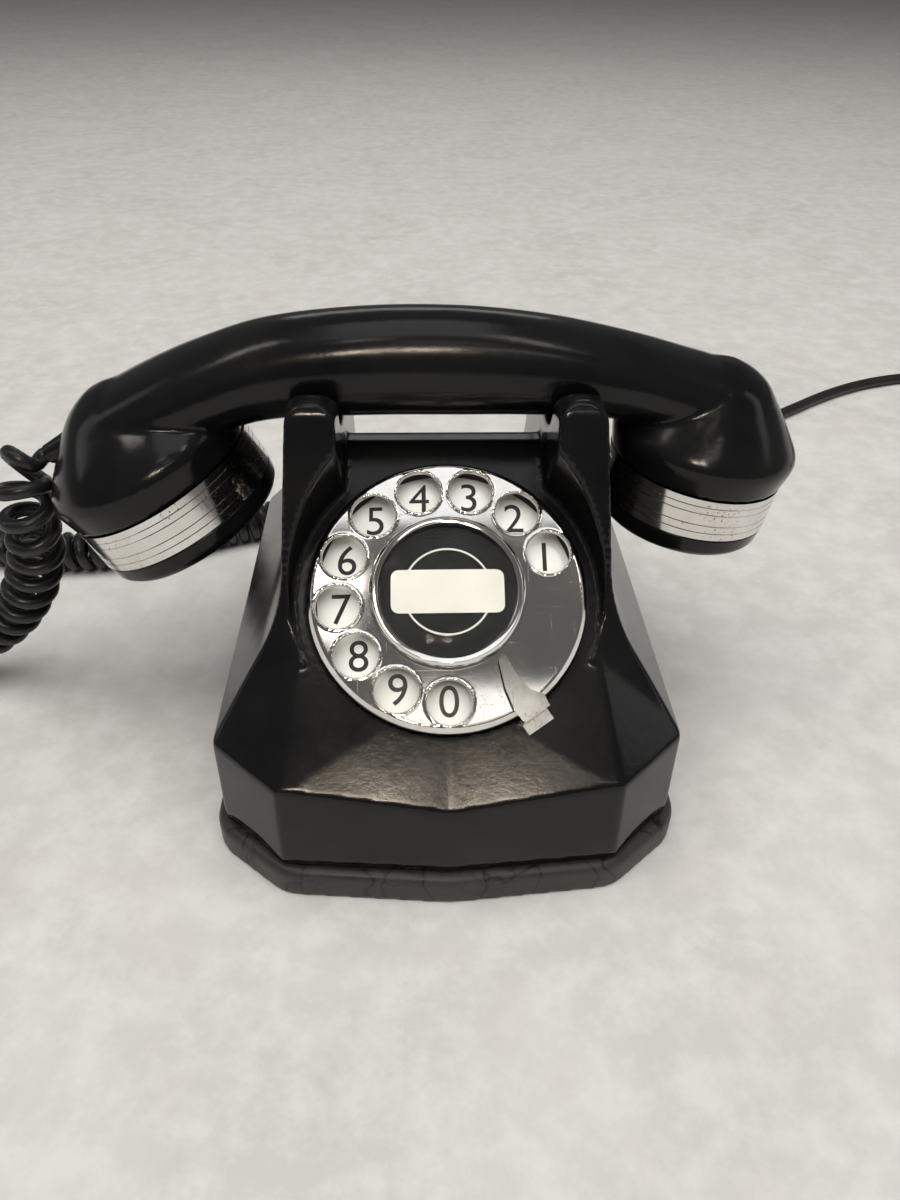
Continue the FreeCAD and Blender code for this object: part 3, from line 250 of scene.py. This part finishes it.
# ------------------------------------------------------------------ materials
class Look:
    """A procedural material built up from a Principled shader."""

    def __init__(self, name, color, rough, metal=0.0, **sockets):
        self.mat = bpy.data.materials.new(name)
        self.mat.use_nodes = True
        self.tree = self.mat.node_tree
        self.shader = self.tree.nodes["Principled BSDF"]
        self.shader.inputs["Base Color"].default_value = (*color, 1)
        self.shader.inputs["Roughness"].default_value = rough
        self.shader.inputs["Metallic"].default_value = metal
        for key, value in sockets.items():
            self.shader.inputs[key.replace("_", " ")].default_value = value
        self.coords = self.tree.nodes.new("ShaderNodeTexCoord").outputs["Object"]
        self.last_bump = None

    def add(self, kind, inputs=None, **settings):
        item = self.tree.nodes.new("ShaderNode" + kind)
        for key, value in settings.items():
            setattr(item, key, value)
        for key, value in (inputs or {}).items():
            if isinstance(value, bpy.types.NodeSocket):
                self.tree.links.new(value, item.inputs[key])
            else:
                item.inputs[key].default_value = value
        return item

    def stretched(self, scale, rotation=(0, 0, 0)):
        return self.add("Mapping", {"Vector": self.coords, "Scale": scale, "Rotation": rotation}).outputs[0]

    def noise(self, scale, detail=3.0, rough=0.55, warp=0.0, at=None):
        return self.add("TexNoise", {"Vector": at or self.coords, "Scale": scale, "Detail": detail,
                                     "Roughness": rough, "Distortion": warp}).outputs["Fac"]

    def voronoi(self, scale, feature="F1", at=None):
        return self.add("TexVoronoi", {"Vector": at or self.coords, "Scale": scale},
                        feature=feature).outputs["Distance"]

    def ramp(self, value, low, high, low_to=0.0, high_to=1.0):
        """The value rescaled from low..high to low_to..high_to, and held there."""
        return self.add("MapRange", {"Value": value, "From Min": low, "From Max": high,
                                     "To Min": low_to, "To Max": high_to}).outputs[0]

    def math(self, kind, a, b):
        return self.add("Math", {0: a, 1: b}, operation=kind).outputs[0]

    def blend(self, share, a, b):
        """Colour a where share is 0, b where it is 1."""
        item = self.add("Mix", {0: share}, data_type="RGBA")
        for key, value in ((6, a), (7, b)):
            if isinstance(value, bpy.types.NodeSocket):
                self.tree.links.new(value, item.inputs[key])
            else:
                item.inputs[key].default_value = (*value, 1)
        return item.outputs[2]

    def set(self, socket, value):
        self.tree.links.new(value, self.shader.inputs[socket])

    def bump(self, height, distance, strength=1.0):
        inputs = {"Height": height, "Distance": distance, "Strength": strength}
        if self.last_bump:
            inputs["Normal"] = self.last_bump
        self.last_bump = self.add("Bump", inputs).outputs[0]
        self.set("Normal", self.last_bump)

    def pointed(self, low, high):
        """1 on sharp outer edges, 0 elsewhere."""
        return self.ramp(self.add("NewGeometry").outputs["Pointiness"], low, high)


def moulded_black():
    """Old moulded plastic: black, hazy in patches, rubbed brown on its edges."""
    look = Look("moulded_black", (0.006, 0.006, 0.0063), 0.24, Specular_IOR_Level=0.31)
    haze = look.noise(38, 5, 0.6)
    fine = look.noise(420, 3, 0.6)
    rub = look.noise(150, 6, 0.7, 1.2)
    edge = look.math("MULTIPLY", look.pointed(0.56, 0.66), look.ramp(rub, 0.45, 0.65))
    color = look.blend(look.ramp(haze, 0.35, 0.75),
                       (0.0045, 0.0045, 0.005), (0.009, 0.0088, 0.0085))
    color = look.blend(look.math("MULTIPLY", edge, 0.35), color, (0.060, 0.052, 0.044))
    specks = look.ramp(look.voronoi(330), 0.03, 0.08, 1.0, 0.0)
    specks = look.math("MULTIPLY", specks, look.ramp(look.noise(55, 2), 0.58, 0.68))
    color = look.blend(look.math("MULTIPLY", specks, 0.22), color, (0.10, 0.095, 0.085))
    look.set("Base Color", color)
    rough = look.math("ADD", look.ramp(haze, 0.3, 0.8, 0.12, 0.20),
                      look.ramp(fine, 0.3, 0.8, 0.0, 0.05))
    look.set("Roughness", look.math("ADD", rough, look.math("MULTIPLY", edge, 0.15)))
    look.bump(look.noise(950, 2), 0.00003, 0.45)
    look.bump(look.noise(420, 3, 0.6), 0.00008, 0.30)
    look.bump(look.noise(34, 2), 0.0006, 0.2)
    return look.mat


def chrome(name, pits, haze, tint=(0.80, 0.785, 0.76)):
    """Worn bright plating, with pits, grit and fine scratches."""
    look = Look(name, tint, haze, 1.0)
    patch = look.noise(60, 4, 0.6)
    pit = look.ramp(look.voronoi(520), 0.05, 0.14, 1.0, 0.0)
    pit = look.math("MULTIPLY", pit, look.ramp(look.noise(90, 3), 0.50, 0.60))
    grit = look.math("MULTIPLY", look.ramp(look.noise(1300, 3, 0.7), 0.60, 0.68),
                     look.ramp(look.noise(70, 4), 0.5, 0.62))
    pit = look.math("MULTIPLY", look.math("MAXIMUM", pit, look.math("MULTIPLY", grit, 0.7)), pits)
    scratch = look.noise(1.0, 2, 0.4, at=look.stretched((90, 2600, 90), (0.2, 0.3, 0.5)))
    scratch_b = look.noise(1.0, 2, 0.4, at=look.stretched((2400, 80, 80), (0.5, 0.1, -0.6)))
    lines = look.math("MAXIMUM", look.ramp(scratch, 0.66, 0.74), look.ramp(scratch_b, 0.66, 0.74))
    dulled = tuple(c * f for c, f in zip(tint, (0.86, 0.83, 0.78)))
    color = look.blend(look.ramp(patch, 0.4, 0.8), tint, dulled)
    look.set("Base Color", look.blend(pit, color, (0.05, 0.042, 0.035)))
    rough = look.ramp(patch, 0.3, 0.8, haze * 0.6, haze * 1.7)
    rough = look.math("ADD", rough, look.math("MULTIPLY", pit, 0.5))
    look.set("Roughness", look.math("ADD", rough, look.math("MULTIPLY", lines, 0.10)))
    look.bump(pit, 0.00005, -0.6)
    look.bump(lines, 0.00001, -0.5)
    return look.mat


def cracked_rubber():
    """Perished rubber with upright cracks and a net of fine ones."""
    look = Look("cracked_rubber", (0.02, 0.019, 0.018), 0.5)
    warp = look.noise(45, 4, 0.6)
    wander = look.add("TexNoise", {"Vector": look.coords, "Scale": 90.0, "Detail": 4.0}).outputs["Color"]
    wander = look.add("VectorMath", {0: wander, 1: (0.010, 0.010, 0.010)}, operation="MULTIPLY").outputs[0]
    tall = look.add("Mapping", {"Vector": look.coords, "Scale": (1, 1, 0.3)}).outputs[0]
    tall = look.add("VectorMath", {0: tall, 1: wander}, operation="ADD").outputs[0]
    even = look.add("VectorMath", {0: look.coords, 1: wander}, operation="ADD").outputs[0]
    upright = look.ramp(look.voronoi(62, "DISTANCE_TO_EDGE", at=tall), 0.0, 0.030, 1.0, 0.0)
    fine = look.ramp(look.voronoi(210, "DISTANCE_TO_EDGE", at=even), 0.0, 0.05, 1.0, 0.0)
    fine = look.math("MULTIPLY", fine, look.ramp(look.noise(48, 2), 0.50, 0.58))
    cracks = look.math("MAXIMUM", upright, look.math("MULTIPLY", fine, 0.7))
    low = look.add("SeparateXYZ", {0: look.coords}).outputs["Z"]
    foot = look.math("MULTIPLY", look.ramp(low, 0.0042, 0.0012), look.ramp(warp, 0.35, 0.6))
    color = look.blend(look.ramp(warp, 0.3, 0.7), (0.020, 0.0195, 0.019), (0.040, 0.038, 0.036))
    color = look.blend(foot, color, (0.060, 0.047, 0.036))
    look.set("Base Color", look.blend(cracks, color, (0.0015, 0.0015, 0.0015)))
    look.set("Roughness", look.ramp(warp, 0.3, 0.7, 0.34, 0.56))
    look.bump(cracks, 0.0009, -1.0)
    look.bump(look.noise(500, 4, 0.7), 0.00012, 0.5)
    look.bump(look.noise(110, 3, 0.6), 0.0005, 0.35)
    return look.mat


def enamel():
    """Fired cream enamel, slightly stained."""
    look = Look("cream_enamel", (0.80, 0.79, 0.75), 0.22, Coat_Weight=0.3, Coat_Roughness=0.08)
    stain = look.noise(70, 5, 0.65)
    look.set("Base Color", look.blend(look.ramp(stain, 0.45, 0.85), (0.84, 0.835, 0.79), (0.70, 0.67, 0.58)))
    look.set("Roughness", look.ramp(stain, 0.3, 0.8, 0.16, 0.34))
    look.bump(look.noise(300, 2), 0.00003, 0.4)
    return look.mat


def plain(name, color, rough, metal=0.0, grain=300.0, spread=0.25, depth=0.00004, **sockets):
    """A simple surface with slight variation of tone, gloss and relief."""
    look = Look(name, color, rough, metal, **sockets)
    tone = look.noise(grain * 0.2, 4, 0.6)
    darker = tuple(c * (1 - spread) for c in color)
    lighter = tuple(min(c * (1 + spread), 1) for c in color)
    look.set("Base Color", look.blend(look.ramp(tone, 0.3, 0.7), darker, lighter))
    look.set("Roughness", look.ramp(look.noise(grain, 3), 0.3, 0.7, rough * 0.8, min(rough * 1.25, 1)))
    look.bump(look.noise(grain * 2, 3), depth, 0.5)
    return look.mat


BLACK = moulded_black()
CHROME = chrome("wheel_chrome", 0.3, 0.07, (0.86, 0.85, 0.83))
# The finger stop's plating is tinted darker than the wheel's as painted shade; its extra pits and haze are
# real wear.
STOP = chrome("stop_chrome", 0.6, 0.14, (0.66, 0.645, 0.61))
BAND = chrome("band_chrome", 1.6, 0.11)
RUBBER = cracked_rubber()
ENAMEL = enamel()
STEEL = plain("plated_steel", (0.55, 0.54, 0.51), 0.34, 1.0)
BRASS = plain("aged_brass", (0.62, 0.45, 0.20), 0.3, 1.0)
CARD = plain("black_card", (0.008, 0.008, 0.0085), 0.8, grain=900,
             Specular_IOR_Level=0.2)
PAPER = plain("cream_paper", (0.80, 0.775, 0.70), 0.65, grain=600, spread=0.05)
INK = plain("black_ink", (0.010, 0.010, 0.010), 0.35, grain=800)
BLACK_METAL = plain("black_metal", (0.014, 0.014, 0.014), 0.35, 0.0)
WINDING_RED = plain("varnished_winding", (0.30, 0.09, 0.04), 0.3, grain=1200)
CAN = plain("can_metal", (0.6, 0.6, 0.6), 0.35, 1.0)
BROWN = plain("brown_insulator", (0.10, 0.05, 0.03), 0.35)
GLOSS_CORD = plain("cord_gloss", (0.010, 0.010, 0.0105), 0.32, grain=160, depth=0.00001)
SATIN_CORD = plain("cord_satin", (0.013, 0.013, 0.013), 0.42, grain=400)
WINDOW = plain("clear_window", (0.97, 0.97, 0.96), 0.03, grain=80, spread=0.01, depth=0.00001,
               Transmission_Weight=1.0, IOR=1.12)

SURFACES = {
    BLACK: ["housing", "handset_handle", "transmitter_cap", "receiver_cap", "handset_boot",
            "line_plug"],
    RUBBER: ["base_rim"],
    CHROME: ["finger_wheel", "hub_ring"],
    STOP: ["finger_stop"],
    BAND: ["transmitter_band", "receiver_band"],
    ENAMEL: ["number_plate"],
    BLACK_METAL: ["number_ring", "plunger_left", "plunger_right"],
    STEEL: ["base_plate", "base_screws", "dial_case", "return_spring", "lever_pin",
            "switch_bracket", "ringer_frame", "gong_screws", "main_shaft", "governor_worm",
            "hook_lever", "armature"],
    BRASS: ["pinion_bridge", "governor_stand", "pulse_contacts", "hook_contacts", "gong_left",
            "gong_right", "terminal_screws", "line_plug_pins", "main_gear", "impulse_pinion",
            "governor_weights", "clapper"],
    WINDING_RED: ["ringer_coils", "induction_coil"],
    CAN: ["condenser", "transmitter_capsule", "receiver_capsule"],
    BROWN: ["terminal_strip"],
    GLOSS_CORD: ["handset_cord_tail", "handset_cord", "base_cord_tail", "handset_cord_relief"],
    SATIN_CORD: ["line_cord", "line_cord_coil", "plug_lead", "line_cord_relief"],
    CARD: ["dial_card"],
    WINDOW: ["card_window"],
}


def cover(obj, material):
    obj.data.materials.clear()
    obj.data.materials.append(material)


for material, names in SURFACES.items():
    for name in names:
        cover(nodes[name], material)
cover(handset_lead, GLOSS_CORD)
cover(line_lead, SATIN_CORD)


# ------------------------------------------------------------------ edges of the CAD pieces
def rounded(name, width, angle):
    """Round the sharp edges of a CAD piece and shade the rest smoothly."""
    obj = nodes[name]
    for face in obj.data.polygons:
        face.use_smooth = True
    weld = obj.modifiers.new("weld", "WELD")
    weld.merge_threshold = 0.00002
    bevel = obj.modifiers.new("round", "BEVEL")
    bevel.width = width
    bevel.segments = 2
    bevel.limit_method = "ANGLE"
    bevel.angle_limit = math.radians(angle)
    weighted = obj.modifiers.new("weighted", "WEIGHTED_NORMAL")
    weighted.weight = 80


def softened(obj, voxel, passes):
    """Even out a moulding's mesh and let its edges go slightly soft."""
    grid = obj.modifiers.new("grid", "REMESH")
    grid.mode = "VOXEL"
    grid.voxel_size = voxel
    grid.use_smooth_shade = True
    soft = obj.modifiers.new("soft", "SMOOTH")
    soft.factor = 0.5
    soft.iterations = passes


softened(nodes["housing"], 0.7 * MM, 8)
softened(nodes["base_rim"], 0.6 * MM, 10)
softened(nodes["finger_wheel"], 0.28 * MM, 5)
rounded("hub_ring", 0.15 * MM, 35)
rounded("finger_stop", 0.25 * MM, 35)
rounded("transmitter_cap", 0.5 * MM, 30)
rounded("receiver_cap", 0.5 * MM, 30)

# ------------------------------------------------------------------ handset
HANDLE_SECTIONS = [  # x, underside, top, half width in mm
    (-100, 93.0, 111.0, 15.0), (-95, 92.0, 114.5, 17.0), (-82, 96.0, 121.2, 17.5),
    (-67, 101.5, 127.6, 16.5), (-48, 106.5, 133.6, 15.0), (-22, 107.5, 136.6, 14.7),
    (4, 107.5, 136.8, 14.5), (28, 107.4, 134.4, 14.4), (50, 106.0, 129.8, 14.6),
    (66, 102.0, 125.4, 15.2), (80, 98.0, 121.0, 15.4), (89, 95.0, 115.0, 14.0),
]
TRANSMITTER_OUTLINE = [  # radius, height in mm
    (29.1, 0), (29.4, 1.8), (29.9, 4.6), (30.3, 7.2), (30.2, 8.6), (29.2, 10.6),
    (26.6, 13.6), (23.4, 16.8), (18.0, 21.4), (12.4, 25.8), (7.6, 28.3), (3.0, 29.8),
]
RECEIVER_OUTLINE = [
    (25.6, 0), (25.9, 1.8), (26.5, 4.4), (27.0, 7.0), (26.9, 8.6), (25.8, 10.6),
    (23.4, 13.8), (20.4, 17.6), (16.6, 22.0), (12.4, 26.6), (7.8, 29.3), (3.0, 31.0),
]
BOWLS = [  # tilt in degrees, centre x, centre z, outline
    (-27.0, -83.5, 88.0, TRANSMITTER_OUTLINE),
    (9.1, 74.9, 91.6, RECEIVER_OUTLINE),
]


def eased(rows, steps):
    """Rows of numbers joined by a smooth curve, with so many steps between neighbours."""
    result = []
    for i in range(len(rows) - 1):
        near = (rows[max(i - 1, 0)], rows[i], rows[i + 1], rows[min(i + 2, len(rows) - 1)])
        for k in range(steps):
            t = k / steps
            result.append([0.5 * (2 * q + (r - p) * t + (2 * p - 5 * q + 4 * r - z) * t * t
                                  + (3 * q - p - 3 * r + z) * t ** 3) for p, q, r, z in zip(*near)])
    result.append(list(rows[-1]))
    return result


def handset_body():
    """The handle and both bowls as overlapping skins, which the remesh makes one."""
    bm = bmesh.new()
    shell(bm, [[Vector((x, half * math.cos(a), (low + high) / 2 + (high - low) / 2 * math.sin(a))) * MM
                for a in around(56)] for x, low, high, half in eased(HANDLE_SECTIONS, 6)])
    for tilt, x, z, outline in BOWLS:
        place = Matrix.Translation((x * MM, 0, z * MM)) @ Matrix.Rotation(math.radians(tilt), 4, "Y")
        shell(bm, [[place @ (Vector((r * math.cos(a), r * math.sin(a), h)) * MM) for a in around(96)]
                   for r, h in eased(outline, 4)])
    bmesh.ops.recalc_face_normals(bm, faces=bm.faces)
    return object_from("handset_body", bm)


handset = handset_body()
softened(handset, 0.8 * MM, 9)
cover(handset, BLACK)
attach(handset, "handset")
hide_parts("handset_handle")

# ------------------------------------------------------------------ dial: digits, card, plaque
DIAL_TILT = math.radians(37.0)
DIAL_AT = Vector((0, -0.0401, (40.0 + 41.2 * math.tan(DIAL_TILT)) * MM))
dial = Matrix.Translation(DIAL_AT) @ Matrix.Rotation(DIAL_TILT, 4, "X")
WHEEL_TOP = 5.0 * MM
FIRST_HOLE, HOLE_STEP = 21.6, 27.6      # degrees
DIGIT_RADIUS = 29.3 * MM
DIGIT_HEIGHT = 8.8 * MM
FONT_SIZE = 1.38           # size of the font for a digit one unit high
PRINT = 0.06 * MM          # thickness of what is printed on the card


def flat_text(name, letters, height, x, y):
    """Thin flat letters centred on x, y."""
    data = bpy.data.curves.new(name, "FONT")
    data.body = letters
    data.size = height * FONT_SIZE
    data.align_x = "CENTER"
    data.align_y = "CENTER"
    data.extrude = 0.04 * MM
    data.offset = -0.01 * MM
    data.resolution_u = 6
    text = link(name, data)
    mesh = bpy.data.meshes.new_from_object(text)
    bpy.data.objects.remove(text)
    mesh.transform(Matrix.Translation((x, y, 0)))
    return link(name, mesh)


def plate_height(radius):
    """Height of the number plate's face over the dial's own plane."""
    if radius < 25.6 * MM:
        return 0.5 * MM + (0.3 - 0.5) * MM * (radius / MM - 6.5) / 19.1
    return 0.3 * MM - 0.7 * MM * (radius / MM - 25.6) / 10


for i in range(10):
    angle = math.radians(FIRST_HOLE + HOLE_STEP * i)
    label = str((i + 1) % 10)
    digit = flat_text("digit_" + label, label, DIGIT_HEIGHT,
                      DIGIT_RADIUS * math.cos(angle), DIGIT_RADIUS * math.sin(angle))
    for vert in digit.data.vertices:
        vert.co.z += plate_height(math.hypot(vert.co.x, vert.co.y)) + 0.05 * MM
    digit.data.transform(dial)
    cover(digit, INK)
    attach(digit, "base")


def flat_ring(name, inner, outer, lift):
    """A printed circle on the card."""
    bm = bmesh.new()
    corners = ((inner, lift), (inner, lift + PRINT), (outer, lift + PRINT), (outer, lift))
    rows = [[bm.verts.new((r * math.cos(a), r * math.sin(a), h)) for a in around(120)]
            for r, h in corners]
    for i in range(4):
        band(bm, rows[i], rows[(i + 1) % 4])
    bmesh.ops.recalc_face_normals(bm, faces=bm.faces)
    return object_from(name, bm)


def plaque(name, half_wide, half_high, corner, lift):
    """A blank printed panel with rounded corners."""
    bm = bmesh.new()
    ring = []
    for sx, sy, start in ((1, 1, 0), (-1, 1, 90), (-1, -1, 180), (1, -1, 270)):
        for k in range(7):
            a = math.radians(start + 90 * k / 6)
            ring.append((sx * (half_wide - corner) + corner * math.cos(a),
                         sy * (half_high - corner) + corner * math.sin(a)))
    low = [bm.verts.new((x, y, lift)) for x, y in ring]
    high = [bm.verts.new((x, y, lift + PRINT)) for x, y in ring]
    bm.faces.new(high)
    bm.faces.new(list(reversed(low)))
    band(bm, low, high)
    return object_from(name, bm)


CARD_TOP = WHEEL_TOP + 0.52 * MM
for piece in (flat_ring("card_line", 11.6 * MM, 12.1 * MM, CARD_TOP),
              plaque("card_plaque", 15.2 * MM, 6.0 * MM, 2.2 * MM, CARD_TOP + 0.07 * MM)):
    piece.data.transform(dial)
    cover(piece, PAPER)
    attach(piece, "wheel")

# ------------------------------------------------------------------ stage and light
def table_top():
    """A wide flat sheet of paper under the telephone."""
    bm = bmesh.new()
    bmesh.ops.create_grid(bm, x_segments=8, y_segments=8, size=7.0)
    return object_from("table_top", bm)


def table_paper():
    """Pale matt paper, faintly clouded."""
    look = Look("table_paper", (0.6, 0.585, 0.56), 0.85)
    cloud = look.noise(14, 6, 0.62, 0.6)
    flecks = look.noise(75, 5, 0.68)
    warmth = look.noise(32, 3, 0.5)
    color = look.blend(look.ramp(cloud, 0.3, 0.7), (0.47, 0.457, 0.437), (0.55, 0.54, 0.52))
    flecks = look.math("MULTIPLY", look.ramp(flecks, 0.42, 0.62), 0.55)
    color = look.blend(flecks, color, (0.63, 0.62, 0.60))
    warmth = look.math("MULTIPLY", look.ramp(warmth, 0.5, 0.7), 0.35)
    color = look.blend(warmth, color, (0.52, 0.475, 0.46))
    look.set("Base Color", color)
    look.bump(look.noise(60, 5, 0.6), 0.0009, 0.25)
    return look.mat


table = table_top()
cover(table, table_paper())


def softbox(name, at, towards, width, height, power, color):
    """A rectangular light that the camera doesn't see."""
    data = bpy.data.lights.new(name, "AREA")
    data.shape = "RECTANGLE"
    data.size, data.size_y = width, height
    data.energy = power
    data.color = color
    lamp = link(name, data)
    lamp.location = at
    lamp.rotation_euler = (Vector(towards) - Vector(at)).to_track_quat("-Z", "Y").to_euler()
    lamp.visible_camera = False
    return lamp


ceiling = softbox("ceiling", (0.0, -0.55, 2.2), (0, -0.55, 0), 3.0, 2.4, 74, (1.0, 0.99, 0.97))
ceiling.visible_glossy = False
softbox("panel_back", (-0.02, 0.02, 1.5), (-0.02, 0.02, 0), 0.62, 0.94, 1.9, (0.97, 0.985, 1.0))
softbox("panel_front", (0.12, -0.87, 1.5), (0.12, -0.87, 0), 0.36, 0.14, 0.20, (1.0, 0.97, 0.92))
softbox("ceiling_left", (-0.74, -0.17, 1.5), (-0.1, 0, 0.1), 0.16, 0.40, 1.5, (1.0, 0.92, 0.82))
softbox("ceiling_right", (0.42, -0.40, 1.5), (0.1, 0, 0.1), 0.12, 0.34, 0.7, (1.0, 0.93, 0.84))
softbox("ceiling_mid", (-0.20, -0.60, 1.5), (0.0, 0, 0.1), 0.14, 0.14, 0.22, (1.0, 0.95, 0.88))
softbox("ceiling_low", (0.34, -1.24, 1.5), (0.0, 0, 0.1), 0.50, 0.07, 0.55, (1.0, 0.92, 0.82))
softbox("left_fill", (-1.2, 0.1, 0.7), (0, 0, 0.05), 0.25, 0.8, 0.5, (0.97, 0.985, 1.0))
softbox("right_fill", (1.2, -0.1, 0.8), (0, 0, 0.05), 0.25, 0.8, 0.5, (1.0, 0.98, 0.95))
softbox("back_fill", (0.0, 1.4, 0.9), (0, 0, 0.05), 0.9, 0.3, 1.2, (1.0, 0.985, 0.96))
for name, x in (("lamp_left", -0.19), ("lamp_right", 0.03)):
    spot = softbox(name, (x, -1.17, 1.18), (x / 9, 0, 0.12), 0.11, 0.11, 2.6, (1.0, 0.84, 0.66))
    spot.visible_diffuse = False


def room():
    """Soft grey surroundings, patchy enough to give metal something to reflect."""
    world = bpy.data.worlds.new("room")
    world.use_nodes = True
    tree = world.node_tree
    coords = tree.nodes.new("ShaderNodeTexCoord")
    patches = tree.nodes.new("ShaderNodeTexNoise")
    patches.inputs["Scale"].default_value = 1.7
    patches.inputs["Detail"].default_value = 2.0
    tones = tree.nodes.new("ShaderNodeValToRGB")
    dark, light = tones.color_ramp.elements
    dark.position, dark.color = 0.38, (0.60, 0.585, 0.56, 1)
    light.position, light.color = 0.62, (0.78, 0.77, 0.75, 1)
    tree.links.new(coords.outputs["Generated"], patches.inputs["Vector"])
    tree.links.new(patches.outputs["Fac"], tones.inputs["Fac"])
    tree.links.new(tones.outputs["Color"], tree.nodes["Background"].inputs["Color"])
    tree.nodes["Background"].inputs["Strength"].default_value = 0.17
    return world


scene.world = room()
scene.view_settings.view_transform = "Standard"
scene.view_settings.look = "None"
bpy.context.view_layer.update()
